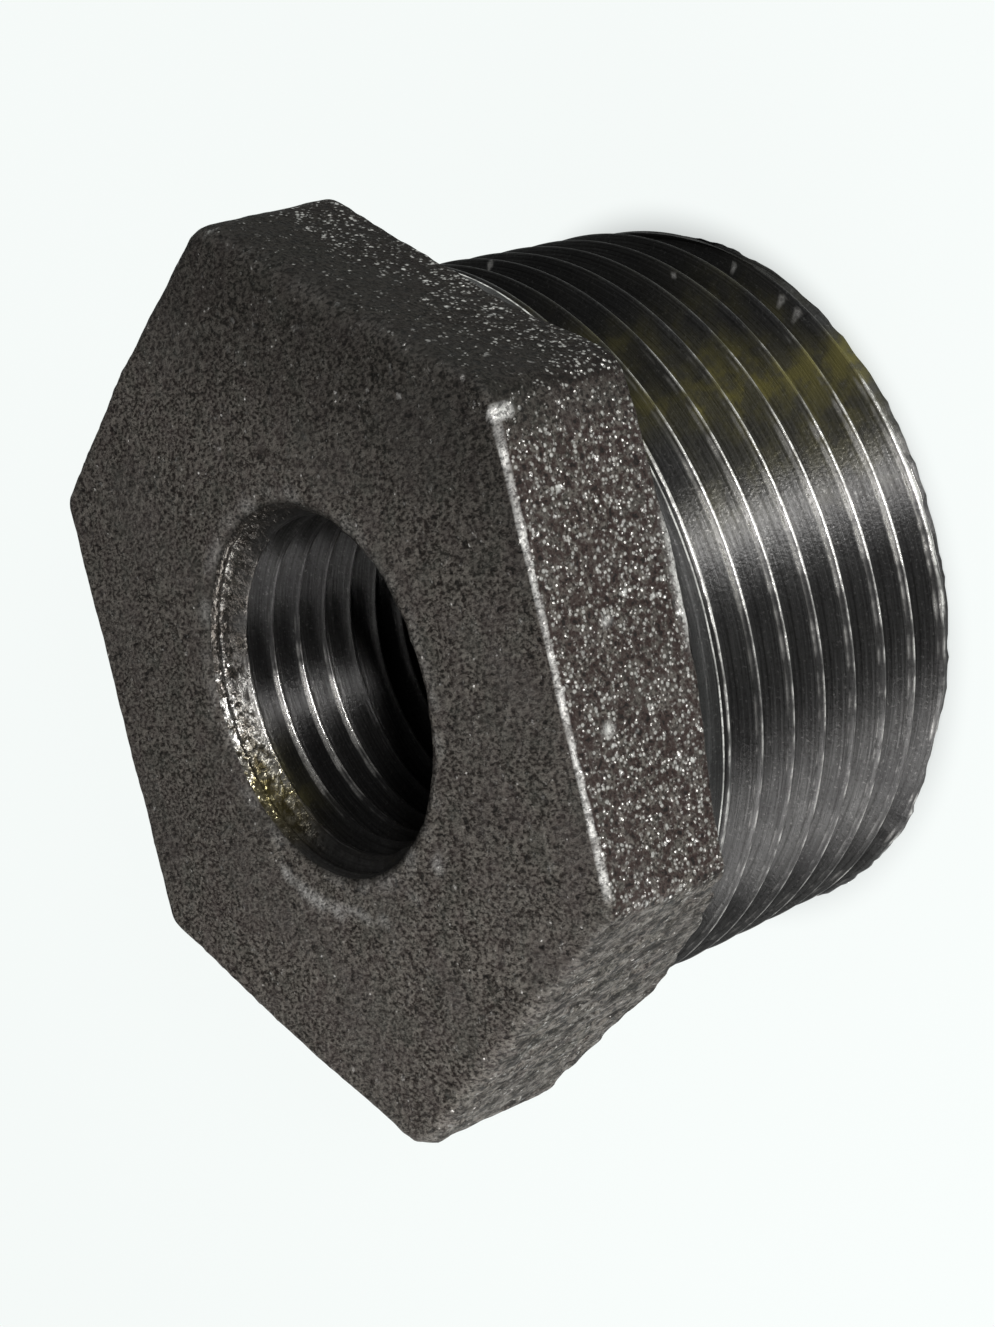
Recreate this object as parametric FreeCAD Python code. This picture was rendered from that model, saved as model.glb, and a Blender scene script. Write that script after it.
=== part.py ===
import FreeCAD, Part
import os
from math import cos, pi, radians, sin, tan
from FreeCAD import Vector

# Reducing bush for iron pipe, 1 1/4 inch male to 1/2 inch female, one malleable iron casting.
# It stands on its threaded end. The origin is the centre of that end face, and +Z runs up the
# bore to the hexagon face.

# Overall
total_height = 27.5

# Male taper thread, 11 threads to the inch. The thread form itself is not cut here: the cone
# follows the crests.
male_gauge_diameter = 41.91
male_gauge_length = 12.7
male_taper = 1.0 / 16.0
male_thread_length = 16.6
male_end_chamfer = 0.6

# Turned neck between the thread and the back of the hexagon
neck_diameter = 43.0
neck_shoulder = 0.4

# Cast hexagon
hexagon_across_flats = 45.0
hexagon_corner_height = 8.0
hexagon_back_slope = 12.0
hexagon_face_round = 0.8
plain_corner_round = 1.1
parting_corner_round = 3.4

# Female parallel thread, 14 threads to the inch, bored to its minor diameter
female_minor_diameter = 18.631
mouth_diameter = 21.3
mouth_half_angle = 30.0
female_back_chamfer = 0.9

# Cored recess inside the male end
recess_mouth_diameter = 29.0
recess_depth = 10.5
recess_draft = 3.0
recess_floor_round = 1.5

PLANE_CLEARANCE = 5.0


def revolve(points):
    """Turn a closed outline of (radius, height) points about the axis of the bore."""
    wire = Part.makePolygon([Vector(r, 0, z) for r, z in points + points[:1]])
    return Part.Face(wire).revolve(Vector(0, 0, 0), Vector(0, 0, 1), 360)


def crest_radius(height):
    """Radius of the male thread's crests at a height above the threaded end."""
    return (male_gauge_diameter + (height - male_gauge_length) * male_taper) / 2


def hexagon_blank():
    """Hexagon bar with its corners on X, rounded corners and a rounded front edge."""
    corner_radius = hexagon_across_flats / (2 * cos(pi / 6))
    corners = [Vector(corner_radius * cos(k * pi / 3), corner_radius * sin(k * pi / 3), 0)
               for k in range(6)]
    outline = Part.Face(Part.makePolygon(corners + corners[:1]))
    blank = outline.extrude(Vector(0, 0, total_height))
    uprights = {edge: edge.CenterOfMass for edge in blank.Edges
                if abs(edge.Vertexes[0].X - edge.Vertexes[1].X) < 1e-6
                and abs(edge.Vertexes[0].Y - edge.Vertexes[1].Y) < 1e-6}
    # The mould parted through the two corners on the X axis, which were dressed rounder.
    on_parting = [edge for edge, middle in uprights.items() if abs(middle.y) < 1e-6]
    off_parting = [edge for edge, middle in uprights.items() if abs(middle.y) >= 1e-6]
    blank = blank.makeFillet(parting_corner_round, on_parting)
    off_middles = [uprights[edge] for edge in off_parting]
    plain = [edge for edge in blank.Edges
             if any((edge.CenterOfMass - middle).Length < 1e-4 for middle in off_middles)]
    blank = blank.makeFillet(plain_corner_round, plain)
    front = [edge for edge in blank.Edges
             if all(abs(vertex.Z - total_height) < 1e-6 for vertex in edge.Vertexes)]
    return blank.makeFillet(hexagon_face_round, front)


def below_the_back():
    """Everything under the hexagon's sloping back."""
    corner_radius = hexagon_across_flats / (2 * cos(pi / 6))
    corner_back = total_height - hexagon_corner_height
    slope = tan(radians(hexagon_back_slope))
    outer = corner_radius + PLANE_CLEARANCE
    return revolve([(0, -PLANE_CLEARANCE), (outer, -PLANE_CLEARANCE),
                    (outer, corner_back + (outer - corner_radius) * slope),
                    (0, corner_back - corner_radius * slope)])


def threaded_stub():
    """Male end: chamfered tip, taper over the thread, shoulder and neck."""
    neck_radius = neck_diameter / 2
    top_radius = crest_radius(male_thread_length)
    return revolve([(0, 0), (crest_radius(0) - male_end_chamfer, 0),
                    (crest_radius(male_end_chamfer), male_end_chamfer),
                    (top_radius, male_thread_length),
                    (neck_radius, male_thread_length + neck_shoulder),
                    (neck_radius, total_height - hexagon_corner_height / 2),
                    (0, total_height - hexagon_corner_height / 2)])


def bore_tool():
    """Countersunk mouth, tapped bore and its back chamfer."""
    minor_radius = female_minor_diameter / 2
    mouth_radius = mouth_diameter / 2
    slope = tan(radians(mouth_half_angle))
    mouth_depth = (mouth_radius - minor_radius) / slope
    above = total_height + PLANE_CLEARANCE
    return revolve([(0, recess_depth - PLANE_CLEARANCE),
                    (minor_radius + female_back_chamfer + PLANE_CLEARANCE,
                     recess_depth - PLANE_CLEARANCE),
                    (minor_radius, recess_depth + female_back_chamfer),
                    (minor_radius, total_height - mouth_depth),
                    (mouth_radius + PLANE_CLEARANCE * slope, above), (0, above)])


def recess_tool():
    """Cored recess with draft and a rounded floor."""
    mouth_radius = recess_mouth_diameter / 2
    floor_radius = mouth_radius - recess_depth * tan(radians(recess_draft))
    cone = Part.makeCone(mouth_radius, floor_radius, recess_depth)
    floor = [edge for edge in cone.Edges
             if len(edge.Vertexes) == 1 and abs(edge.Vertexes[0].Z - recess_depth) < 1e-6]
    return cone.makeFillet(recess_floor_round, floor)


body = hexagon_blank().cut(below_the_back())
body = body.fuse(threaded_stub())
body = body.cut(bore_tool())
body = body.cut(recess_tool())
body = body.removeSplitter()
body = body.Solids[0]

os.makedirs("parts", exist_ok=True)
body.exportStep("parts/reducing_bush.step")
print("valid", body.isValid(), "volume mm3", round(body.Volume, 1), "box", body.BoundBox)
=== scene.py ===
from collections import namedtuple
from math import atan2, cos, pi, radians, sin, sqrt, tan

import bpy
import numpy as np
from mathutils import Matrix, Vector, noise


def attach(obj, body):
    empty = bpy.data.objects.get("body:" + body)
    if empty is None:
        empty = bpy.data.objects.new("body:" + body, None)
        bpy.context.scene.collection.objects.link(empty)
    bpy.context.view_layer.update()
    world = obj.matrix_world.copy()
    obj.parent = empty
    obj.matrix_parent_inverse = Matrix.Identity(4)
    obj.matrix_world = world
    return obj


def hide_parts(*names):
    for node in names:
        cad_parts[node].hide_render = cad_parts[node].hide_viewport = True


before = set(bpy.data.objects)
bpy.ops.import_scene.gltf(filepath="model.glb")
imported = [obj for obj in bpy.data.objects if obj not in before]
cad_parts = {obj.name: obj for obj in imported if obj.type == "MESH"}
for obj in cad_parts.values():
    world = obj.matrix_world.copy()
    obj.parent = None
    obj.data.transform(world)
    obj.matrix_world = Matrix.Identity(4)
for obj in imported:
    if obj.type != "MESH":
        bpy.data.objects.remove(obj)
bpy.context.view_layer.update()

# Reducing bush, 1 1/4 inch male to 1/2 inch female, as one closed skin in place of its solid. It
# stands on its threaded end. The origin is the middle of that end, and +Z runs up the bore to the
# face of the hexagon, which has corners on the X axis.

# Sizes in millimetres, as in the part's source. The mouth and the top of the thread follow the
# photo and differ a little from the solid's.
MM = 0.001
TOTAL_HEIGHT = 27.5
ACROSS_FLATS = 45.0
CORNER_RADIUS = ACROSS_FLATS / sqrt(3)
NECK_RADIUS = 21.5
MALE_GAUGE_DIAMETER = 41.91
MALE_GAUGE_LENGTH = 12.7
MALE_TAPER = 1 / 16
MINOR_RADIUS = 18.631 / 2
MOUTH_RADIUS = 10.4
MOUTH_HALF_ANGLE = radians(33.0)
MOUTH_LIP = 0.12
END_FACE_OUTER = 18.95
RECESS_RADIUS = 14.5
RECESS_DEPTH = 10.5
RECESS_DRAFT = tan(radians(3.0))
RECESS_FLOOR_ROUND = 1.5

# Each thread's pitch, the height of one crest on the +X side, and the heights that it runs between
MALE_PITCH, MALE_CREST = 25.4 / 11, 1.15
MALE_LOW, MALE_HIGH = 0.12, 16.9
FEMALE_PITCH, FEMALE_CREST = 25.4 / 14, 1.6
FEMALE_LOW, FEMALE_HIGH = 11.35, 26.95

# Columns round the part: the cast hexagon, the turned male end, the bore
FINE, HALF, QUARTER = 576, 288, 144

# The two surfaces, each with its own material
CAST, CUT = 0, 1


# Short functions for masks, noise and circles

def clamp01(x):
    return np.clip(x, 0.0, 1.0)


def smooth(x):
    """Ease from 0 to 1 while x goes from 0 to 1."""
    x = clamp01(x)
    return x * x * (3 - 2 * x)


def rises(x, start, over):
    """0 up to the start, and 1 after the distance over which it rises."""
    return smooth((x - start) / over)


def falls(x, end, over):
    """0 from the end on, and 1 before the distance over which it falls."""
    return smooth((end - x) / over)


def bell(x, middle, width):
    return np.exp(-((x - middle) / width) ** 2)


def wrap(x):
    """Bring a phase into -0.5 to 0.5."""
    return x - np.round(x)


def between(a, b, t):
    return a * (1 - t) + b * t


def perlin(points, size, seed=0.0, stretch=(1, 1, 1)):
    """Smooth noise from -1 to 1 whose lumps are about the given size in millimetres."""
    shift = Vector((seed * 13.7, seed * 7.3, seed * 3.1))
    k = np.asarray(stretch) / size
    return np.array([noise.noise(Vector(q) + shift) for q in points * k])


def circle(n, radius, z):
    """Points round the axis, anticlockwise from +X. Radius and height may differ from point to point."""
    a = np.arange(n) * 2 * pi / n
    return np.stack([radius * np.cos(a), radius * np.sin(a), np.broadcast_to(z, a.shape)], 1)


# The mesh

class Skin:
    """One closed mesh built ring by ring, from the mouth over the outside and back up the bore."""

    def __init__(self):
        self.points, self.turn, self.cast, self.worn, self.painted_metal_shade = [], [], [], [], []
        self.faces, self.kinds = [], []
        self.count = 0

    def ring(self, points, cast, turn=None, worn=0.0, painted_metal_shade=0.0):
        """Add points, with how far each is cast skin, worn bright or given a painted highlight, and under
        painted shade. Gives their numbers.
        """
        n = len(points)
        self.points.append(np.asarray(points, float))
        self.turn.append(np.arange(n) / n if turn is None else turn)
        self.cast.append(np.broadcast_to(cast, n))
        self.worn.append(np.broadcast_to(worn, n))
        self.painted_metal_shade.append(np.broadcast_to(painted_metal_shade, n))
        self.count += n
        return np.arange(self.count - n, self.count)

    def add(self, rows, surface, pitch=0.0, crest=0.0):
        """Add faces given as rows of point numbers, in which a number may come twice."""
        for row in rows:
            face = [v for i, v in enumerate(row) if v != row[i - 1]]
            if len(set(face)) > 2:
                self.faces.append(face)
                self.kinds.append((surface, pitch, crest))

    def join(self, a, b, surface):
        """Join ring a to the next ring b, which has as many points, twice as many or half."""
        A, B = np.roll(a, -1), np.roll(b, -1)
        if len(a) == len(b):
            rows = np.stack([a, b, B, A], 1)
        elif len(a) > len(b):
            a0, a1, a2 = a[::2], a[1::2], A[1::2]
            rows = np.concatenate([np.stack([a0, b, a1, a1], 1), np.stack([a1, b, B, B], 1),
                                   np.stack([a1, B, a2, a2], 1)])
        else:
            b0, b1, b2 = b[::2], b[1::2], B[1::2]
            rows = np.concatenate([np.stack([a, b0, b1, b1], 1), np.stack([a, b1, A, A], 1),
                                   np.stack([A, b1, b2, b2], 1)])
        self.add(rows.tolist(), surface)

    def join_in_turn(self, rings):
        """Join each ring to the next one, with the surface that is given for the first of the two."""
        for (ring, surface), (after, _) in zip(rings, rings[1:]):
            self.join(ring, after, surface)

    def close(self):
        """Turn what the rings hold into one array for each quantity."""
        self.points, self.turn, self.cast, self.worn, self.painted_metal_shade = (
            np.concatenate(q) for q in (self.points, self.turn, self.cast, self.worn, self.painted_metal_shade))


skin = Skin()


# The hexagon as cast. Its corners and sides are counted anticlockwise, and the corner on +X is 0.

# Where each corner lies off the regular hexagon, and how far the middle of each side stands out
CORNER_SHIFTS = ((0.0, 0.5), (0.4, -0.2), (0.05, -0.4), (-0.3, 0.35), (0.05, 0.65), (0.05, 0.55))
BULGES = (0.3, 0.0, 0.15, 0.1, 0.0, 0.0)
# Corner radii, how far each corner flares from the front to the back, and the columns' share
CORNER_ROUNDS = (3.4, 1.1, 1.1, 3.4, 1.1, 2.0)
FLARES = (0.15, 0.0, 0.0, -0.1, 0.0, 0.0)
CORNER_STEPS = (14, 5, 5, 14, 5, 9)
SIDE_STEPS = (86, 92, 86, 86, 90, 84)
# Radius of the front edge at each corner and half way along the side after it
FRONT_ROUNDS = ((0.9, 0.5), (0.5, 0.45), (0.5, 0.5), (0.8, 1.0), (0.4, 0.3), (0.45, 1.2))
# Height of the hexagon's back at each corner, then at the quarters of the side after it
BACK = ((18.3, 18.8, 18.9, 19.1), (19.3, 18.9, 18.75, 18.9), (19.2, 19.0, 18.8, 19.1),
        (19.7, 18.6, 17.7, 18.7), (20.2, 19.5, 18.75, 18.65), (18.8, 19.4, 19.05, 18.8))
BACK_SLOPE = tan(radians(11.0))
NECK_LOWEST_TOP = 17.8
# The face falls a little towards +X, and the head sits off the axis of the bore.
FACE_HEIGHT = TOTAL_HEIGHT - 0.04
FACE_SLOPE = tan(radians(1.5))
CAST_OFFSET = (0.19, 0.27)


def rounded_corners():
    """For each corner, where its round starts and ends, the round's centre and the turn in it."""
    corners = [Vector((CORNER_RADIUS * cos(k * pi / 3) + dx, CORNER_RADIUS * sin(k * pi / 3) + dy))
               for k, (dx, dy) in enumerate(CORNER_SHIFTS)]
    rounds = []
    for k, here in enumerate(corners):
        back = (corners[k - 1] - here).normalized()
        on = (corners[(k + 1) % 6] - here).normalized()
        half = back.angle(on) / 2
        reach = CORNER_ROUNDS[k] / tan(half)
        centre = here + (back + on).normalized() * (CORNER_ROUNDS[k] / sin(half))
        rounds.append((here + back * reach, here + on * reach, centre, pi - 2 * half))
    return rounds


def hexagon_columns():
    """Points and outward directions round the hexagon, and how many sides on from corner 0 they are."""
    rounds = rounded_corners()
    points, normals, along = [], [], []
    for k, (start, end, centre, turn) in enumerate(rounds):
        first = atan2(start.y - centre.y, start.x - centre.x)
        for i in range(CORNER_STEPS[k]):
            a = first + turn * i / CORNER_STEPS[k]
            outward = Vector((cos(a), sin(a)))
            points.append(centre + outward * CORNER_ROUNDS[k])
            normals.append(outward)
            along.append(k)
        run = rounds[(k + 1) % 6][0] - end
        outward = Vector((run.y, -run.x)).normalized()
        for i in range(SIDE_STEPS[k]):
            t = i / SIDE_STEPS[k]
            points.append(end + run * t + outward * (BULGES[k] * sin(pi * t)))
            normals.append(outward)
            along.append(k + t)
    # The first column is the middle of corner 0, as on the turned rings.
    move = -(CORNER_STEPS[0] // 2)
    return (np.roll(np.array(points), move, 0), np.roll(np.array(normals), move, 0),
            np.roll(np.array(along), move))


HEX, HEX_OUT, ALONG = hexagon_columns()
FLAT_HEX = np.c_[HEX, np.zeros(FINE)]


def round_the_hexagon(values, per_side):
    """Smooth curve through values given at even steps along the sides."""
    x = ALONG * per_side
    i = np.floor(x).astype(int)
    v = np.asarray(values, float).ravel()
    a, b, c, d = (v[(i + j) % len(v)] for j in (-1, 0, 1, 2))
    t = x - i
    return b + 0.5 * t * (c - a + t * (2 * a - 5 * b + 4 * c - d + t * (3 * (b - c) + d - a)))


# The back edge is ragged all round, and most along side 3.
ragged = np.where((ALONG > 3) & (ALONG < 4), 0.45, 0.15)
BACK_HEIGHT = round_the_hexagon(BACK, 4) + ragged * perlin(FLAT_HEX, 1.4, 12)
FRONT_ROUND = round_the_hexagon(FRONT_ROUNDS, 2)[:, None]
FLARE = np.interp(ALONG, range(7), FLARES + FLARES[:1])[:, None]
# Bright wear on the edges of side 4: the whole front edge, and the middle of the back edge
FRONT_WEAR = np.where((ALONG >= 4) & (ALONG < 5), smooth((ALONG - 4) / 0.03), 0.03)
FRONT_WEAR = FRONT_WEAR * (0.45 + 0.55 * smooth(0.6 + 2.0 * perlin(FLAT_HEX, 0.6, 21)))
BACK_WEAR = np.exp(-((ALONG - 4.58) / 0.12) ** 4) * smooth(1.3 + 1.3 * perlin(FLAT_HEX, 0.6, 19))


def as_cast(xy, depth):
    """Place points of the hexagon, given by their depth below its leaning face."""
    x, y = xy[:, 0], xy[:, 1]
    z = FACE_HEIGHT - x * FACE_SLOPE - np.ravel(depth)
    return np.stack([x + CAST_OFFSET[0], y + CAST_OFFSET[1], z], 1)


def mouth_edge(n):
    """The mouth's circle on the leaning face."""
    edge = circle(n, MOUTH_RADIUS, 0)
    edge[:, 2] = FACE_HEIGHT - (edge[:, 0] - CAST_OFFSET[0]) * FACE_SLOPE
    return edge


def face_rings():
    """The cast face, from a small round at the mouth to where the front edge turns down."""
    lip = mouth_edge(HALF)
    lip[:, 2] -= MOUTH_LIP
    mouth = mouth_edge(FINE)
    border = as_cast(HEX - HEX_OUT * FRONT_ROUND, np.zeros(FINE))
    rings = [(skin.ring(lip, 0.35), CAST)]
    for t in np.linspace(0.035, 0.36, 17):
        rings.append((skin.ring(between(mouth, border, t)[::2], 1.0), CAST))
    for t in np.linspace(0.385, 1.0, 29):
        rings.append((skin.ring(between(mouth, border, t), 1.0), CAST))
    return rings


def front_edge_rings():
    """The round of the front edge."""
    rings = []
    for a in np.linspace(0, pi / 2, 6)[1:]:
        inward = HEX - HEX_OUT * FRONT_ROUND * (1 - sin(a))
        edge = as_cast(inward, FRONT_ROUND * (1 - cos(a)))
        rings.append((skin.ring(edge, 1.0, worn=FRONT_WEAR * sin(2 * a)), CAST))
    return rings


def flat_rings():
    """The six flats, down to the back edge."""
    front = as_cast(HEX, FRONT_ROUND)
    rear = as_cast(HEX + HEX_OUT * FLARE, FRONT_ROUND)
    rear[:, 2] = BACK_HEIGHT + 0.12
    rings = []
    for t in np.linspace(0, 1, 28)[1:]:
        wear = BACK_WEAR * (0.2 * (t > 0.94) + 1.3 * (t > 0.98))
        rings.append((skin.ring(between(front, rear, t), 1.0, worn=wear), CAST))
    return rings


def back_rings():
    """The small round of the back edge, and the sloping back. Gives the neck's height round it too."""
    rounded = np.c_[HEX + HEX_OUT * (FLARE - 0.05) + CAST_OFFSET, BACK_HEIGHT + 0.03]
    edge = np.c_[HEX + HEX_OUT * (FLARE - 0.18) + CAST_OFFSET, BACK_HEIGHT]
    reach = np.hypot(edge[:, 0], edge[:, 1]) - NECK_RADIUS
    top = np.maximum(edge[:, 2] - reach * BACK_SLOPE, NECK_LOWEST_TOP)
    neck = circle(FINE, NECK_RADIUS + 0.12, top)
    # The sloping back and the start of the neck get painted shade, deepest at the neck.
    rings = [(skin.ring(rounded, 0.9, worn=BACK_WEAR * 1.3), CAST),
             (skin.ring(edge, 0.55, worn=BACK_WEAR * 0.5, painted_metal_shade=0.5), CUT)]
    for t in (0.25, 0.5, 0.75):
        rings.append((skin.ring(between(edge, neck, t), 0.25, painted_metal_shade=0.8), CUT))
    rings.append((skin.ring(neck[::2], 0.0, painted_metal_shade=0.9), CUT))
    return rings, top[::2]


# The turned neck

# Where the shoulder starts, and its steps: radius over the neck's, height, bright wear with painted
# highlight
SHOULDER_TOP = 17.55
SHOULDER = ((0.0, 17.6, 0.1), (0.0, 17.53, 0.9), (0.0, 17.45, 1.2), (-0.1, 17.38, 0.5),
            (-0.16, 17.34, 0.0), (-0.16, 17.2, 0.0), (-0.06, 17.14, 0.6), (-0.02, 17.06, 1.2),
            (-0.04, 16.98, 0.9))


def neck_rings(neck_height):
    """The neck under painted shade, with one faint painted highlight line half way down, and the bright
    lines of its shoulder, partly wear and partly painted highlight.
    """
    top = neck_height - 0.15
    rings = [(skin.ring(circle(HALF, NECK_RADIUS, top), 0.0, painted_metal_shade=0.8), CUT)]
    for t, wear in ((0.4, 0.0), (0.5, 0.45), (0.6, 0.0)):
        line = circle(HALF, NECK_RADIUS, between(top, SHOULDER_TOP, t))
        rings.append((skin.ring(line, 0.0, worn=wear, painted_metal_shade=0.65 * (1 - wear)), CUT))
    for step, z, wear in SHOULDER:
        line = circle(HALF, NECK_RADIUS + step, z)
        rings.append((skin.ring(line, 0.0, worn=wear, painted_metal_shade=0.9 * max(1 - wear, 0)), CUT))
    return rings


# The two threads

# Lean of a flank from the axis, depth of the sharp form, and the rounds at crest and root, all but
# the lean in pitches
FLANK_LEAN = radians(62.5)
SHARP_DEPTH = 0.9605
CREST_ROUND, ROOT_ROUND = 0.04, 0.11


def whitworth(phase):
    """Depth below the crests of a 55 degree thread in pitches, sharper than the standard form."""
    full = SHARP_DEPTH - (CREST_ROUND + ROOT_ROUND) * (1 / cos(FLANK_LEAN) - 1)
    x = np.abs(phase)
    low = CREST_ROUND - np.sqrt(np.maximum(CREST_ROUND ** 2 - x * x, 0))
    flank = CREST_ROUND * (1 - cos(FLANK_LEAN)) + (x - CREST_ROUND * sin(FLANK_LEAN)) * tan(FLANK_LEAN)
    high = full - (ROOT_ROUND - np.sqrt(np.maximum(ROOT_ROUND ** 2 - (0.5 - x) ** 2, 0)))
    past_crest = x >= CREST_ROUND * sin(FLANK_LEAN)
    before_root = x < 0.5 - ROOT_ROUND * sin(FLANK_LEAN)
    return np.where(~past_crest, low, np.where(before_root, flank, high))


def male_radius(turn, z):
    """Radius of the male thread at a turn from 0 to 1 and a height. It fades out at both ends."""
    crest = (MALE_GAUGE_DIAMETER + (z - MALE_GAUGE_LENGTH) * MALE_TAPER) / 2
    phase = wrap((z - MALE_CREST) / MALE_PITCH - turn)
    return crest - whitworth(phase) * MALE_PITCH * falls(z, 16.93, 0.3) * (0.1 + 0.9 * smooth(z / 0.75))


def female_radius(turn, z):
    """Radius of the bore: the thread, or the countersink where that is wider."""
    phase = wrap((z - FEMALE_CREST) / FEMALE_PITCH - turn)
    fade = falls(z, 27.2, 0.4) * rises(z, 11.3, 0.5)
    sink = MOUTH_RADIUS - (27.3 - z) * tan(MOUTH_HALF_ANGLE)
    return max(MINOR_RADIUS + float(whitworth(phase)) * FEMALE_PITCH * fade, sink)


# A thread's points lie at these phases from each crest. Dull is the painted shade on its flanks, and second
# is the bright wear and painted highlight in the finer line on either side of a crest.
Thread = namedtuple("Thread", "columns pitch crest low high radius phases dull second")
MALE = Thread(
    columns=HALF, pitch=MALE_PITCH, crest=MALE_CREST, low=MALE_LOW, high=MALE_HIGH, radius=male_radius,
    phases=(-0.5, -0.42, -0.305, -0.13, -0.085, -0.045, -0.02, 0.0, 0.02, 0.045, 0.085, 0.13, 0.305, 0.42),
    dull=0.0, second=0.75)
FEMALE = Thread(
    columns=QUARTER, pitch=FEMALE_PITCH, crest=FEMALE_CREST, low=FEMALE_LOW, high=FEMALE_HIGH,
    radius=female_radius,
    phases=(-0.5, -0.41, -0.305, -0.14, -0.09, -0.04, 0.0, 0.04, 0.09, 0.14, 0.305, 0.41),
    dull=0.5, second=0.85)


def thread_points(thread):
    """Points of a thread on its helices, each with its turn, and their numbers by column and helix."""
    turns_round = np.arange(thread.columns) / thread.columns
    first = int(np.floor((thread.low - thread.crest) / thread.pitch)) - 1
    last = int(np.ceil((thread.high - thread.crest) / thread.pitch)) + 1
    base = [thread.crest + (m + p) * thread.pitch for m in range(first, last + 1) for p in thread.phases]
    points, turns = [], []

    def put(u, z):
        r = float(thread.radius(u, z))
        points.append((r * cos(2 * pi * u), r * sin(2 * pi * u), z))
        turns.append(u)
        return skin.count + len(points) - 1

    low = np.array([put(u, thread.low) for u in turns_round])
    high = np.array([put(u, thread.high) for u in turns_round])
    index = np.zeros((thread.columns, len(base)), int)
    for k, u in enumerate(turns_round):
        for j, start in enumerate(base):
            z = start + thread.pitch * u
            if z < thread.low + 0.05:
                index[k, j] = low[k]
            elif z > thread.high - 0.05:
                index[k, j] = high[k]
            else:
                index[k, j] = put(u, z)
    return np.array(points), np.array(turns), low, high, index


def spiral(thread):
    """Add the points of a thread. Gives its first and last ring and its faces."""
    points, turns, low, high, index = thread_points(thread)
    phase = wrap((points[:, 2] - thread.crest) / thread.pitch - turns)
    # Painted shade in the roots; the crest lines are bright wear and painted highlight.
    root = bell(np.abs(phase), 0.5, 0.1)
    crest_lines = bell(phase, 0, 0.045) + thread.second * bell(np.abs(phase), 0.087, 0.02)
    skin.ring(points, 0.0, turns, worn=crest_lines, painted_metal_shade=thread.dull + (1 - thread.dull) * root)
    # One turn on, a helix is where the next crest's helix starts.
    steps = len(thread.phases)
    closing = np.concatenate([index[0][steps:], [high[0]] * steps])
    rows = []
    for here, after in zip(index, [*index[1:], closing]):
        rows += np.stack([here[1:], here[:-1], after[:-1], after[1:]], 1).tolist()
    return low, high, rows


# The threaded end's face, the cored recess and the back of the bore

def end_face_rings():
    """The chamfer of the threaded end, the flat end face and the recess's edge."""
    chamfer = circle(HALF, male_radius(np.arange(HALF) / HALF, 0.02) - 0.1, 0.0)
    rings = [(skin.ring(chamfer, 0.0), CUT), (skin.ring(circle(HALF, END_FACE_OUTER, 0.0), 0.0), CUT)]
    for radius in (18.0, 17.0, 16.0, 15.1):
        rings.append((skin.ring(circle(QUARTER, radius, 0.0), 0.1), CUT))
    rings.append((skin.ring(circle(QUARTER, 14.8, 0.06), 0.4), CUT))
    return rings


def recess_rings():
    """The recess's wall with its draft, the round at its floor, the floor and the bore's chamfer."""
    wall_top = RECESS_DEPTH - RECESS_FLOOR_ROUND
    rings = []
    for z in np.linspace(0.35, wall_top, 12):
        rings.append((skin.ring(circle(QUARTER, RECESS_RADIUS - z * RECESS_DRAFT, z), 1.0), CAST))
    centre = RECESS_RADIUS - RECESS_DEPTH * RECESS_DRAFT - RECESS_FLOOR_ROUND
    for a in (pi / 6, pi / 3, pi / 2):
        radius = centre + RECESS_FLOOR_ROUND * cos(a)
        z = wall_top + RECESS_FLOOR_ROUND * sin(a)
        rings.append((skin.ring(circle(QUARTER, radius, z), 1.0), CAST))
    for radius in (11.6, 10.85):
        rings.append((skin.ring(circle(QUARTER, radius, RECESS_DEPTH), 1.0), CAST))
    rings.append((skin.ring(circle(QUARTER, 10.3, RECESS_DEPTH), 0.5), CUT))
    rings.append((skin.ring(circle(QUARTER, 9.75, 10.98), 0.0), CUT))
    return rings


# The whole skin: the outside from the mouth down, then the inside from the threaded end up

outside = face_rings() + front_edge_rings() + flat_rings()
back, neck_height = back_rings()
outside += back + neck_rings(neck_height)
male_bottom, male_top, male_faces = spiral(MALE)
outside.append((male_top, CUT))
skin.join_in_turn(outside)
skin.add(male_faces, CUT, MALE.pitch, MALE.crest)

inside = [(male_bottom, CUT)] + end_face_rings() + recess_rings()
female_bottom, female_top, female_faces = spiral(FEMALE)
inside.append((female_bottom, CUT))
skin.join_in_turn(inside)
skin.add([row[::-1] for row in female_faces], CUT, FEMALE.pitch, FEMALE.crest)

mouth_ring = skin.ring(circle(HALF, MOUTH_RADIUS - MOUTH_LIP, FEMALE_HIGH + MOUTH_LIP), 0.0)
skin.join_in_turn([(female_top, CUT), (mouth_ring, CUT), outside[0]])
skin.close()


def make_mesh(name, points):
    mesh = bpy.data.meshes.new(name)
    mesh.from_pydata((points * MM).tolist(), [], skin.faces)
    return mesh


def vertex_normals(points):
    mesh = make_mesh("draft", points)
    normals = np.empty(len(points) * 3, np.float32)
    mesh.vertices.foreach_get("normal", normals)
    bpy.data.meshes.remove(mesh)
    return normals.reshape(-1, 3)


# What the relief and the paint below share. R and N are the radius and the outward direction of
# each point before the relief moves it.
R = np.hypot(skin.points[:, 0], skin.points[:, 1])
N = vertex_normals(skin.points)
TOP_FLAT = (0.87, -0.5)
LOW_FLAT = (-0.87, -0.5)


def towards(vectors, direction):
    """Part of each vector along a direction in the XY plane."""
    return vectors[:, 0] * direction[0] + vectors[:, 1] * direction[1]


cast = smooth(skin.cast)
on_low_flat = rises(towards(N, LOW_FLAT), 0.6, 0.3)
on_top_flat = rises(towards(N, TOP_FLAT), 0.4, 0.4)


# Relief along the outward direction, in millimetres

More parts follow.
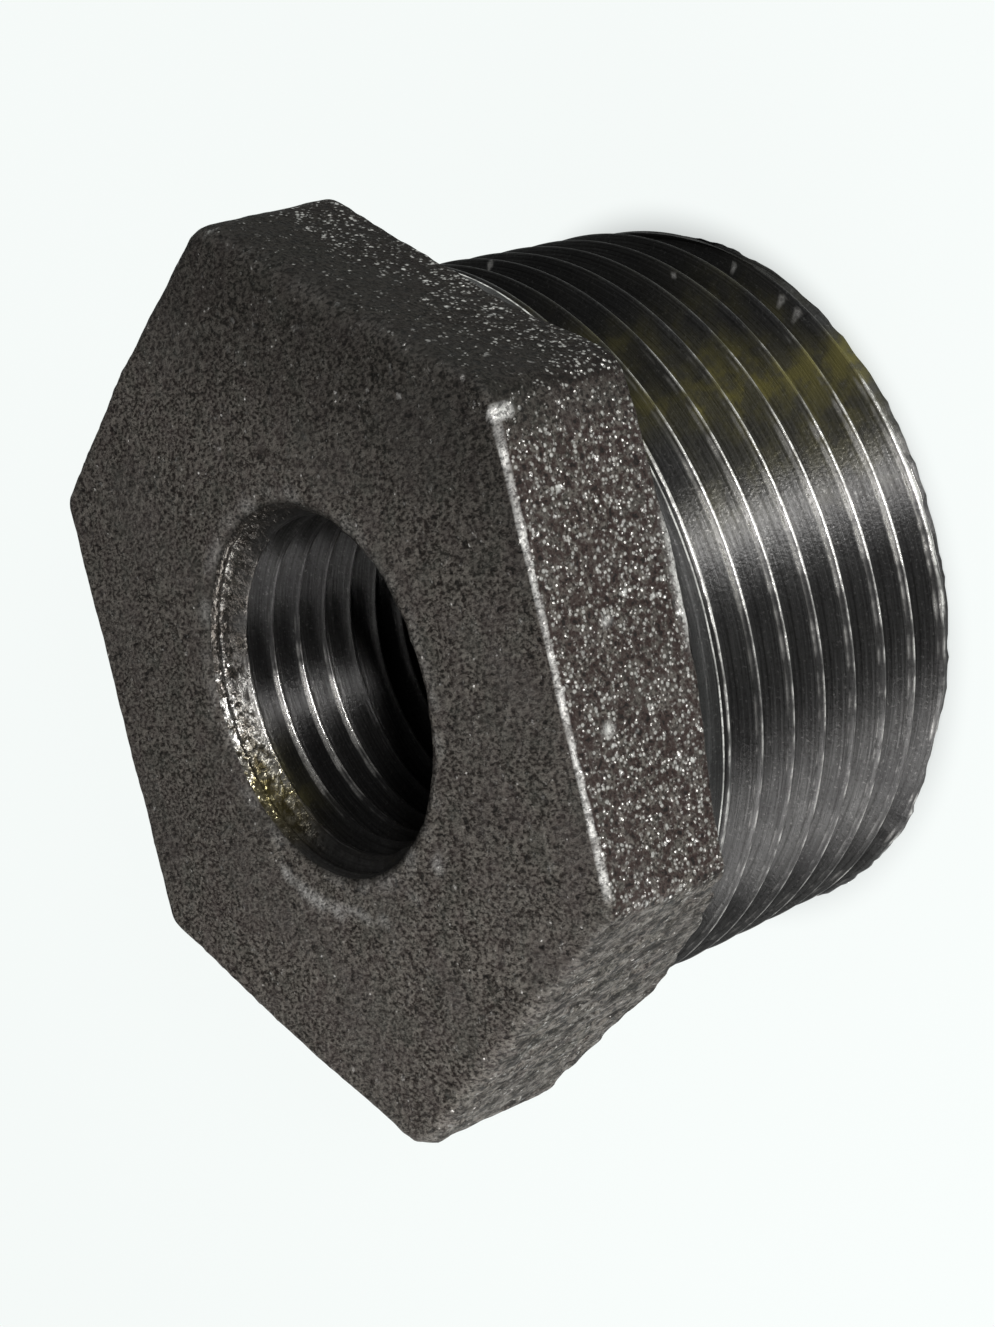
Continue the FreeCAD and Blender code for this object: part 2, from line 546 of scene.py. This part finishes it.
def sand_cast_relief(P):
    """Grain, broader waves and lumps of the cast skin, deep pits on the low flat, a rougher front edge."""
    grain = perlin(P, 0.55, 1) * 0.6 + perlin(P, 0.95, 2) * 0.6
    waves = perlin(P, 3.2, 3)
    lumps = np.maximum(perlin(P, 1.6, 4) - 0.25, 0)
    pits = np.maximum(perlin(P, 0.8, 15) - 0.15, 0)
    all_over = (0.035 + 0.04 * on_low_flat) * grain + 0.075 * waves + 0.07 * lumps
    front_edge = rises(P[:, 2], 26.5, 0.5) * rises(R, 19.5, 1.0) * falls(N[:, 2], 0.85, 0.2)
    return cast * (all_over - 0.35 * on_low_flat * pits) + front_edge * 0.13 * perlin(P, 0.7, 16)


def threaded_end_relief(P):
    """The threaded end's uneven rim, and the chipped crests above it near +X."""
    around = np.degrees(np.arctan2(P[:, 1], P[:, 0]))
    rim = rises(R, 18.5, 1.0) * falls(P[:, 2], 0.9, 0.8)
    flared = 0.12 + 0.14 * bell(around, -76, 20) - 0.3 * bell(around, -126, 9)
    chipped = rises(R, 18.5, 1.0) * falls(P[:, 2], 3.2, 3.0) * bell(around, -9, 23)
    return rim * (0.14 * perlin(P, 0.7, 5) + 0.1 * perlin(P, 2.5, 6) + flared) - 0.5 * chipped


def mouth_relief(P):
    """Unevenness of the countersink."""
    mouth = falls(R, 11.0, 0.2) * rises(P[:, 2], 24.9, 0.8)
    return mouth * (0.05 * perlin(P, 0.6, 10) + 0.08 * perlin(P, 1.3, 11))


# How far the lower end of the male thread lies off the axis of the bore, and where that starts
END_SHIFT = (0.25, -0.15, 0.0)
SHIFT_TOP = 17.0


def shift_end(P):
    """Shift the male thread sideways, more and more towards its lower end, and keep it on the floor."""
    share = rises(R, 17.0, 1.5) * clamp01((SHIFT_TOP - P[:, 2]) / SHIFT_TOP) ** 2.5
    moved = P + share[:, None] * np.array(END_SHIFT)
    moved[:, 2] = np.maximum(moved[:, 2], 0.0)
    return moved


relief = sand_cast_relief(skin.points) + threaded_end_relief(skin.points) + mouth_relief(skin.points)
P = shift_end(skin.points + N * relief[:, None])
X, Y, Z = P.T
degrees_round = np.degrees(np.arctan2(Y, X))


# Where each kind of paint lies, from 0 to 1 on each point

in_mouth = falls(R, 10.9, 0.3)
in_bore = falls(R, 10.2, 0.3)
on_face = rises(Z, 27.0, 0.2)
on_thread = rises(R, 18.4, 0.3) * falls(Z, 17.3, 0.2)
near_top_flat = towards(P, TOP_FLAT)
# Place across the mouth, -1 on its -X side and 1 on its +X side
across_mouth = X / np.maximum(R, 1)
# Painted shade over the thread towards +X, which is up in the camera's view
painted_shade_on_top = on_thread * bell(np.maximum(np.abs(degrees_round - 22) - 45, 0), 0, 22)
# The flat that faces -Y, and the rear of the top flat
facing = rises(-N[:, 1], 0.55, 0.3) * (1 - 0.75 * rises(near_top_flat, 19.3, 2.0))
facing = facing + 0.8 * on_top_flat * smooth((24.0 - Z) / 2.5 + 0.8 * perlin(P, 3.0, 18))


def painted_yellow_reflection():
    """Painted yellow reflection, on the thread on one side and in the bore's mouth."""
    smear = smooth(0.5 + perlin(P, 3.0, 9, (1, 1, 0.4)))
    thread = smear * bell(degrees_round, -56, 13) * rises(R, 18.4, 0.3) * falls(Z, 18, 1.0)
    mouth = (0.5 + 0.5 * smear) * bell(degrees_round, 124, 14) * in_mouth * rises(Z, 23.5, 2.5)
    return thread + mouth


def glitter():
    """How strongly the cast skin glitters: most on the flat that faces -Y, little on the face."""
    return 0.3 + 0.7 * facing * falls(N[:, 2], 0.75, 0.5)


def torn_metal():
    """Where the tool tore the countersink. It is nearly plain on the -X side."""
    torn = in_mouth * smooth((Z - 24.9) / 1.3 + 0.5 * perlin(P, 1.2, 14))
    return torn * (1 - 0.85 * rises(-across_mouth, 0.72, 0.2))


def rubbed_face():
    """The face rubbed bright round the mouth, in an arc below it and on the corner between sides 4 and 5."""
    round_mouth = falls(R, 11.9, 1.2) * on_face * smooth(0.4 + perlin(P, 1.5, 17))
    arc = bell(R, 12.5, 0.4) * on_face * rises(-X, 8.5, 1.5) * smooth(0.55 + 1.6 * perlin(P, 1.6, 24))
    corner = falls(np.hypot(X - 12.0, Y + 21.55), 0.45, 0.3) * rises(Z, 25.8, 0.6)
    return 0.15 * round_mouth + 0.38 * arc + corner


# Single bright nicks: place and size in millimetres
NICKS = ((20.0, -5.35, 12.8, 0.3), (16.85, -11.8, 5.74, 0.2), (16.3, -9.9, 1.9, 0.2),
         (16.65, -11.65, 1.15, 0.2), (14.1, -14.65, 1.15, 0.3), (13.15, -15.55, 1.1, 0.3),
         (-4.05, -21.6, 25.2, 0.25), (1.0, -21.6, 23.7, 0.2))


def wear_and_painted_highlight(yellow_reflection):
    """Bare metal on crests, edges and nicks, with painted highlight on the crests round -77 degrees and in
    the bore round 108 degrees. In the bore it shows near the mouth, and painted shade and the painted yellow
    reflection hide it.
    """
    worn = skin.worn * (0.6 + 0.4 * smooth(0.5 + perlin(P, 0.9, 8) * 2.0))
    worn = np.maximum(worn, rubbed_face() * cast)
    # In the bore the crests fade with depth as painted shade, and get a painted highlight near the mouth
    # round 108 degrees.
    near_mouth = rises(Z, 17.0, 5.5)
    kept = 0.2 + 0.25 * near_mouth + 1.5 * near_mouth * bell(degrees_round, 108, 24)
    worn = worn * (1 - in_bore * (1 - kept))
    worn = worn * (1 + 0.7 * on_thread * falls(Z, 3.4, 1.0) * perlin(P, 1.6, 22))
    # Painted shade towards +X and the painted yellow reflection dim the crests.
    worn = worn * (1 - 0.92 * painted_shade_on_top) * (1 - 0.6 * on_thread * clamp01(yellow_reflection))
    # Painted highlight: the male crests are brighter round -77 degrees and dimmer elsewhere.
    worn = worn * (1 - on_thread * (0.38 - 0.78 * bell(degrees_round, -77, 20)))
    for x, y, z, size in NICKS:
        away = np.linalg.norm(P - np.array((x, y, z)), axis=1)
        worn = np.maximum(worn, 1.2 * bell(away, 0, size))
    return clamp01(worn)


def painted_shade():
    """Painted shade: on the top flat and the skin towards it, in the mouth, in the pits of the low flat, and
    thinner over the face towards +X.
    """
    upper_mouth = in_mouth * rises(across_mouth, -0.05, 0.35)
    lower_mouth = 0.9 * in_mouth * rises(-across_mouth, 0.55, 0.2)
    in_pits = 0.75 * on_low_flat * cast * rises(perlin(P, 0.9, 15), 0.02, 0.3)
    near_top = 0.8 * cast * rises(near_top_flat, 6.0, 15.0) * (1 - 0.7 * facing)
    plain_face = 0.2 * cast * rises(X, -15.0, 10.0)
    return np.maximum.reduce([on_top_flat, upper_mouth, lower_mouth, in_pits, near_top, plain_face])


def painted_metal_shade():
    """Painted shade in roots and corners and over the bore's thread, on the thread towards +X, and on the
    thread towards -X and -Y.
    """
    low_side = 0.5 * on_thread * bell(degrees_round, -132, 36)
    return np.maximum.reduce([skin.painted_metal_shade, 0.75 * painted_shade_on_top, low_side])


# The mesh with its paint and its map of turns

def paint(mesh):
    yellow_reflection = painted_yellow_reflection()
    layers = {"worn": wear_and_painted_highlight(yellow_reflection), "yellow_reflection": clamp01(yellow_reflection * (1 - cast)), "painted_metal_shade": painted_metal_shade(),
              "glitter": glitter(), "torn": torn_metal(), "painted_shade": painted_shade(), "pitted": on_low_flat * cast}
    for name, values in layers.items():
        attribute = mesh.attributes.new(name, "FLOAT", "POINT")
        attribute.data.foreach_set("value", values.astype(np.float32))


def read_whole(items, name):
    values = np.empty(len(items), np.int32)
    items.foreach_get(name, values)
    return values


def map_turns(mesh):
    """UV map for the tool's marks: turns round the axis, and pitches above the crest line on a thread."""
    vertex = read_whole(mesh.loops, "vertex_index")
    starts = read_whole(mesh.polygons, "loop_start")
    face = np.repeat(np.arange(len(starts)), read_whole(mesh.polygons, "loop_total"))
    u = skin.turn[vertex]
    # A face on the seam runs on past one whole turn.
    highest = np.maximum.reduceat(u, starts)[face]
    u = np.where(highest - u > 0.5, u + 1, u)
    _, pitch, crest = np.array(skin.kinds)[face].T
    z = skin.points[vertex, 2]
    on_helix = (z - crest) / np.where(pitch > 0, pitch, 1) - u
    v = np.where(pitch > 0, on_helix, (z + R[vertex]) / 2.0)
    layer = mesh.uv_layers.new(name="turns")
    layer.data.foreach_set("uv", np.stack([u, v], 1).astype(np.float32).ravel())


mesh = make_mesh("reducing_bush_skin", P)
map_turns(mesh)
mesh.polygons.foreach_set("material_index", np.array([surface for surface, _, _ in skin.kinds], np.int32))
mesh.polygons.foreach_set("use_smooth", np.ones(len(mesh.polygons), bool))
paint(mesh)


# Materials. Noise scales are in cells to the metre, so 5400 gives grains of about 0.2 mm.

class Nodes:
    """Short hand for building a material's nodes."""

    def __init__(self, material):
        material.use_nodes = True
        self.tree = material.node_tree
        self.tree.nodes.clear()

    def new(self, kind, settings=None, **inputs):
        """Add a node. An input goes by its name, or by its number after an underscore."""
        node = self.tree.nodes.new(kind)
        for name, value in (settings or {}).items():
            setattr(node, name, value)
        for name, value in inputs.items():
            key = int(name[1:]) if name[1:].isdigit() else name.replace("_", " ")
            if isinstance(value, bpy.types.NodeSocket):
                self.tree.links.new(value, node.inputs[key])
            else:
                node.inputs[key].default_value = value
        return node

    def math(self, operation, a, b=0.0):
        return self.new("ShaderNodeMath", {"operation": operation}, _0=a, _1=b).outputs[0]

    def times(self, a, b):
        return self.math("MULTIPLY", a, b)

    def plus(self, a, b):
        return self.math("ADD", a, b)

    def ramp(self, value, low, high, to_low=0.0, to_high=1.0):
        """Ease from one value to another while the input goes from low to high."""
        return self.new("ShaderNodeMapRange", {"interpolation_type": "SMOOTHSTEP"}, Value=value,
                        From_Min=low, From_Max=high, To_Min=to_low, To_Max=to_high).outputs[0]

    def mix(self, share, a, b):
        return self.new("ShaderNodeMix", {"data_type": "RGBA"}, _0=share, _6=a, _7=b).outputs[2]

    def cover(self, colour, *layers):
        """Lay colours over a first one, each with its own share."""
        for share, over in layers:
            colour = self.mix(share, colour, over)
        return colour

    def noise(self, vector, scale, detail, rough):
        return self.new("ShaderNodeTexNoise", None, Vector=vector, Scale=scale, Detail=detail,
                        Roughness=rough).outputs["Fac"]

    def painted(self, name):
        """One kind of paint of the mesh."""
        return self.new("ShaderNodeAttribute", {"attribute_name": name}).outputs["Fac"]

    def place(self):
        return self.new("ShaderNodeTexCoord").outputs["Object"]

    def vector(self, operation, a, b=(0, 0, 0)):
        return self.new("ShaderNodeVectorMath", {"operation": operation}, _0=a, _1=b).outputs[0]

    def bump(self, height, strength, distance):
        return self.new("ShaderNodeBump", None, Strength=strength, Distance=distance,
                        Height=height).outputs["Normal"]

    def surface(self, colour, metallic, roughness, normal, **more):
        return self.new("ShaderNodeBsdfPrincipled", None, Base_Color=colour, Metallic=metallic,
                        Roughness=roughness, Normal=normal, **more).outputs[0]

    def blend(self, share, a, b):
        """Mix two shaders."""
        return self.new("ShaderNodeMixShader", None, _0=share, _1=a, _2=b).outputs[0]

    def glints(self, place, scale, spread, rise, normal):
        """Normals of small facets, tilted at random and upward, and a mask of the facets' middles."""
        cells = self.new("ShaderNodeTexVoronoi", {"feature": "F1"}, Vector=place, Scale=scale).outputs
        tilt = self.vector("SUBTRACT", cells["Color"], (0.5, 0.5, 0.5 - rise / spread))
        tilt = self.new("ShaderNodeVectorMath", {"operation": "SCALE"}, _0=tilt, Scale=spread).outputs[0]
        size = self.new("ShaderNodeSeparateColor", None, Color=cells["Color"]).outputs[2]
        reach = self.plus(cells["Distance"], self.times(size, 0.32))
        normals = self.vector("NORMALIZE", self.vector("ADD", normal, tilt))
        return normals, self.ramp(reach, 0.62, 0.3)

    def end(self, shader):
        self.new("ShaderNodeOutputMaterial", None, Surface=shader)


def start_material(name):
    material = bpy.data.materials.new(name)
    return material, Nodes(material)


# Colours of the cast skin
GRAIN_DARK, GRAIN_PALE = (0.016, 0.0145, 0.0122, 1), (0.146, 0.134, 0.117, 1)
BROWN = (0.070, 0.058, 0.055, 1)
GREENISH = (0.050, 0.054, 0.045, 1)
PALE_PATCH = (0.090, 0.084, 0.077, 1)
RED_BROWN = (0.028, 0.0155, 0.0135, 1)
HOLLOW = (0.007, 0.0065, 0.006, 1)
# Painted shade on the top flat, on the skin towards it, in the mouth and in the pits
PAINTED_SHADE_DARK = (0.006, 0.006, 0.005, 1)
# Dark pits, partly painted shade, and pale lumps as painted highlight, on the low flat
PIT_DARK_AND_SHADE, PAINTED_LUMP_HIGHLIGHT = (0.012, 0.011, 0.010, 1), (0.19, 0.18, 0.165, 1)
BARE_METAL = (0.72, 0.71, 0.68, 1)
SMALL_FACET, LARGE_FACET = (0.62, 0.60, 0.57, 1), (0.75, 0.73, 0.70, 1)


def cast_colour(k, place, fine, mid):
    """Fine grain under patches of brown, green and pale, then hollows, painted shade, and pits with painted
    shade and lumps with painted highlight.
    """
    hue = k.noise(place, 480, 2, 0.5)
    broad = k.noise(place, 170, 3, 0.5)
    pits = k.noise(place, 1700, 3, 0.65)
    pitted = k.painted("pitted")
    return k.cover(
        k.mix(k.ramp(fine, 0.36, 0.61), GRAIN_DARK, GRAIN_PALE),
        (k.ramp(hue, 0.45, 0.7, 0.0, 0.4), BROWN),
        (k.ramp(hue, 0.5, 0.3, 0.0, 0.35), GREENISH),
        (k.ramp(broad, 0.4, 0.7, 0.0, 0.35), PALE_PATCH),
        (k.times(k.painted("glitter"), k.ramp(mid, 0.58, 0.42, 0.2, 0.8)), RED_BROWN),
        (k.ramp(mid, 0.38, 0.31, 0.0, 0.8), HOLLOW),
        (k.times(k.painted("painted_shade"), 0.76), PAINTED_SHADE_DARK),
        (k.times(pitted, k.ramp(pits, 0.47, 0.38, 0.0, 0.85)), PIT_DARK_AND_SHADE),
        (k.times(pitted, k.ramp(pits, 0.54, 0.66, 0.0, 0.6)), PAINTED_LUMP_HIGHLIGHT))


def cast_glints(k, place, mid, bump, under):
    """Bright grains over the cast skin: many small facets, and a few larger ones."""
    glitter = k.painted("glitter")
    normals, middles = k.glints(place, 4100, 1.15, 0.3, bump)
    small = k.surface(SMALL_FACET, 1.0, 0.38, normals)
    many = k.plus(k.plus(mid, k.times(glitter, 0.24)), k.times(k.painted("worn"), 0.25))
    under = k.blend(k.times(middles, k.ramp(many, 0.64, 0.80, 0.0, 0.75)), under, small)
    normals, middles = k.glints(place, 2000, 0.9, 0.3, bump)
    large = k.surface(LARGE_FACET, 1.0, 0.34, normals)
    few = k.times(k.ramp(k.noise(place, 1100, 2, 0.5), 0.60, 0.68), k.times(middles, glitter))
    return k.blend(few, under, large)


def cast_iron():
    """Sand-cast skin with worn edges and bright grains."""
    material, k = start_material("cast_iron_skin")
    place = k.place()
    stretched = k.vector("MULTIPLY", place, (1, 0.55, 1))
    fine = k.noise(stretched, 5400, 2, 0.6)
    mid = k.noise(stretched, 2500, 2, 0.55)
    worn = k.times(k.painted("worn"), k.ramp(fine, 0.35, 0.55, 0.3, 1.0))
    colour = k.mix(worn, cast_colour(k, place, fine, mid), BARE_METAL)
    rough = k.plus(k.ramp(mid, 0.35, 0.65, 0.5, 0.64), k.times(k.painted("painted_shade"), 0.25))
    bump = k.bump(k.plus(k.times(fine, 0.6), k.times(mid, 1.2)), 1.0, 0.17 * MM)
    under = k.surface(colour, k.times(worn, 0.9), rough, bump, IOR=1.2)
    k.end(cast_glints(k, place, mid, bump, under))
    return material


# Colours of the machined metal
LINE_DARK, LINE_PALE = (0.10, 0.098, 0.096, 1), (0.22, 0.217, 0.213, 1)
DULL_PATCH = (0.085, 0.083, 0.085, 1)
DARK_SPECK, BRIGHT_SPECK = (0.05, 0.046, 0.044, 1), (0.48, 0.47, 0.45, 1)
# Painted shade in roots, corners, the bore and on the thread's sides
PAINTED_METAL_SHADE_DARK = (0.014, 0.013, 0.012, 1)
# Bright crest metal, partly wear and partly painted highlight
CREST_WEAR_AND_HIGHLIGHT = (0.36, 0.35, 0.34, 1)
# Painted yellow reflection on the thread and in the mouth
PAINTED_YELLOW, PAINTED_YELLOW_IN_MOUTH = (0.40, 0.36, 0.13, 1), (0.40, 0.34, 0.14, 1)
BEAD = (0.80, 0.78, 0.74, 1)
TORN_DARK = (0.07, 0.063, 0.055, 1)
# Painted shade in the mouth
PAINTED_MOUTH_SHADE = (0.075, 0.066, 0.057, 1)


def lathe_lines(k):
    """Fine lines of the tool round the axis, which follow the helix on a thread."""
    turns = k.new("ShaderNodeUVMap", {"uv_map": "turns"}).outputs[0]
    along, across = k.new("ShaderNodeSeparateXYZ", None, Vector=turns).outputs[:2]
    angle = k.times(along, 2 * pi)
    across = k.math("FRACT", k.plus(across, 0.5))
    at = k.new("ShaderNodeCombineXYZ", None, X=k.times(k.math("COSINE", angle), 2.5),
               Y=k.times(k.math("SINE", angle), 2.5), Z=k.times(across, 38.0)).outputs[0]
    return k.noise(at, 1.0, 3, 0.65)


def turned_colour(k, place, lines, speck, smudge):
    """Lines of the tool under dull patches, specks, painted shade, crests of wear and painted highlight, and
    a painted yellow reflection.
    """
    broad = k.noise(place, 180, 2, 0.5)
    painted_yellow_share = k.times(k.painted("yellow_reflection"), k.ramp(smudge, 0.4, 0.6, 0.35, 1.0))
    return k.cover(
        k.mix(k.ramp(lines, 0.3, 0.7), LINE_DARK, LINE_PALE),
        (k.ramp(broad, 0.4, 0.7, 0.0, 0.6), DULL_PATCH),
        (k.ramp(speck, 0.54, 0.68, 0.0, 0.4), DARK_SPECK),
        (k.ramp(speck, 0.40, 0.28, 0.0, 0.4), BRIGHT_SPECK),
        (k.times(k.painted("painted_metal_shade"), 0.85), PAINTED_METAL_SHADE_DARK),
        (k.ramp(k.painted("worn"), 0.3, 0.9), CREST_WEAR_AND_HIGHLIGHT),
        (painted_yellow_share, PAINTED_YELLOW))


def turned_metal(k, place):
    """Turned metal: bright across the tool's lines, with a duller share, more of it under the painted yellow
    reflection, and rough beads where the crests are worn or carry painted highlight.
    """
    lines = lathe_lines(k)
    speck = k.noise(place, 5200, 2, 0.6)
    smudge = k.noise(place, 700, 3, 0.6)
    colour = turned_colour(k, place, lines, speck, smudge)
    bump = k.bump(k.plus(lines, k.times(speck, 0.5)), 0.9, 0.03 * MM)
    around = k.new("ShaderNodeTangent", {"direction_type": "RADIAL", "axis": "Z"}).outputs[0]
    brushed = k.surface(colour, 1.0, k.ramp(smudge, 0.35, 0.65, 0.34, 0.44), bump, Tangent=around,
                        Anisotropic=1.0, Anisotropic_Rotation=0.25)
    ragged = k.ramp(k.noise(place, 3200, 2, 0.6), 0.36, 0.54, 0.45, 1.0)
    beads = k.times(k.ramp(k.painted("worn"), 0.3, 0.8), ragged)
    dull_colour = k.mix(beads, k.mix(0.5, colour, (0, 0, 0, 1)), BEAD)
    dull = k.surface(dull_colour, 0.9, k.ramp(beads, 0.0, 1.0, 0.62, 0.27), bump)
    share = k.math("MAXIMUM", k.plus(0.4, k.times(k.painted("yellow_reflection"), 0.4)), beads)
    return k.blend(share, brushed, dull)


def torn_surface(k, place):
    """Crumbled bright metal of the countersink, with painted shade and a painted yellow reflection."""
    crumb = k.noise(place, 1900, 3, 0.65)
    colour = k.cover(
        k.mix(k.ramp(crumb, 0.40, 0.60), TORN_DARK, BEAD),
        (k.times(k.painted("painted_shade"), 0.93), PAINTED_MOUTH_SHADE),
        (k.times(k.painted("yellow_reflection"), 0.8), PAINTED_YELLOW_IN_MOUTH))
    normals, _ = k.glints(place, 4200, 0.45, 0.0, k.bump(crumb, 1.0, 0.15 * MM))
    return k.surface(colour, 0.9, 0.27, normals)


def cut_iron():
    """Machined metal, torn in the countersink."""
    material, k = start_material("machined_iron")
    place = k.place()
    k.end(k.blend(k.painted("torn"), turned_metal(k, place), torn_surface(k, place)))
    return material


mesh.materials.append(cast_iron())
mesh.materials.append(cut_iron())
bush = bpy.data.objects.new("reducing_bush_skin", mesh)
bpy.context.scene.collection.objects.link(bush)
mesh.validate()
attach(bush, "root")
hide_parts("reducing_bush")


# Floor, world, lamps and camera, in metres

FLOOR_HALF = 3.0
# Within the first radius from the axis the floor is plain paper, and past the second it looks lit.
PLAIN_RADIUS, LIT_RADIUS = 0.018, 0.0225
LIT_SHARE = 0.93


def pale_floor():
    """Paper that the camera and the metal see nearly white, and that still takes the part's shadow."""
    material, k = start_material("pale_floor")
    rays = k.new("ShaderNodeLightPath").outputs
    seen = k.math("MAXIMUM", rays["Is Camera Ray"], rays["Is Glossy Ray"])
    seen = k.math("MAXIMUM", seen, rays["Is Transmission Ray"])
    off_axis = k.new("ShaderNodeVectorMath", {"operation": "LENGTH"}, _0=k.place()).outputs["Value"]
    clear = k.ramp(off_axis, PLAIN_RADIUS, LIT_RADIUS)
    paper = k.new("ShaderNodeBsdfDiffuse", None, Color=(0.60, 0.62, 0.615, 1)).outputs[0]
    glow = k.new("ShaderNodeEmission", None, Color=(0.96, 1.0, 0.985, 1), Strength=1.0).outputs[0]
    k.end(k.blend(k.times(k.times(seen, LIT_SHARE), clear), paper, glow))
    return material


corners = [(-FLOOR_HALF, -FLOOR_HALF, 0), (FLOOR_HALF, -FLOOR_HALF, 0),
           (FLOOR_HALF, FLOOR_HALF, 0), (-FLOOR_HALF, FLOOR_HALF, 0)]
floor_mesh = bpy.data.meshes.new("floor")
floor_mesh.from_pydata(corners, [], [(0, 1, 2, 3)])
floor_mesh.materials.append(pale_floor())
floor = bpy.data.objects.new("floor", floor_mesh)
bpy.context.scene.collection.objects.link(floor)

world = bpy.data.worlds.new("studio")
world.use_nodes = True
background = world.node_tree.nodes["Background"]
background.inputs["Color"].default_value = (0.95, 0.98, 1.0, 1)
background.inputs["Strength"].default_value = 0.06
bpy.context.scene.world = world

MIDDLE = Vector((0, 0, 0.0145))


def lamp(name, azimuth, elevation, distance, size, power):
    """A square soft lamp aimed at the part. Azimuth is measured anticlockwise from +X."""
    a, e = radians(azimuth), radians(elevation)
    data = bpy.data.lights.new(name, "AREA")
    data.shape = "SQUARE"
    data.size = size
    data.energy = power
    thing = bpy.data.objects.new(name, data)
    away = Vector((cos(a) * cos(e), sin(a) * cos(e), sin(e)))
    thing.location = MIDDLE + away * distance
    thing.rotation_mode = "QUATERNION"
    thing.rotation_quaternion = away.to_track_quat("Z", "Y")
    bpy.context.scene.collection.objects.link(thing)


lamp("key", azimuth=-80, elevation=25, distance=0.42, size=0.05, power=1.6)
lamp("fill", azimuth=-165, elevation=25, distance=0.125, size=0.09, power=0.14)
lamp("ceiling", azimuth=180, elevation=80, distance=0.45, size=0.25, power=0.4)


def place_camera(spot, aim, up):
    """The photo's camera. The part lies on its side in the picture, so up is near +X."""
    data = bpy.data.cameras.new("camera")
    data.sensor_width = 36
    data.lens = 75.37
    data.clip_start = 0.01
    data.clip_end = 20
    ahead = (aim - spot).normalized()
    right = ahead.cross(up).normalized()
    up = right.cross(ahead)
    camera = bpy.data.objects.new("camera", data)
    camera.matrix_world = Matrix((
        (right.x, up.x, -ahead.x, spot.x),
        (right.y, up.y, -ahead.y, spot.y),
        (right.z, up.z, -ahead.z, spot.z),
        (0, 0, 0, 1)))
    bpy.context.scene.collection.objects.link(camera)
    bpy.context.scene.camera = camera


place_camera(spot=Vector((0.01152, -0.12763, 0.10525)), aim=Vector((-0.001771, 0.002192, 0.01375)),
             up=Vector((0.9641, -0.0797, -0.2532)))

bpy.context.scene.view_settings.view_transform = "Standard"
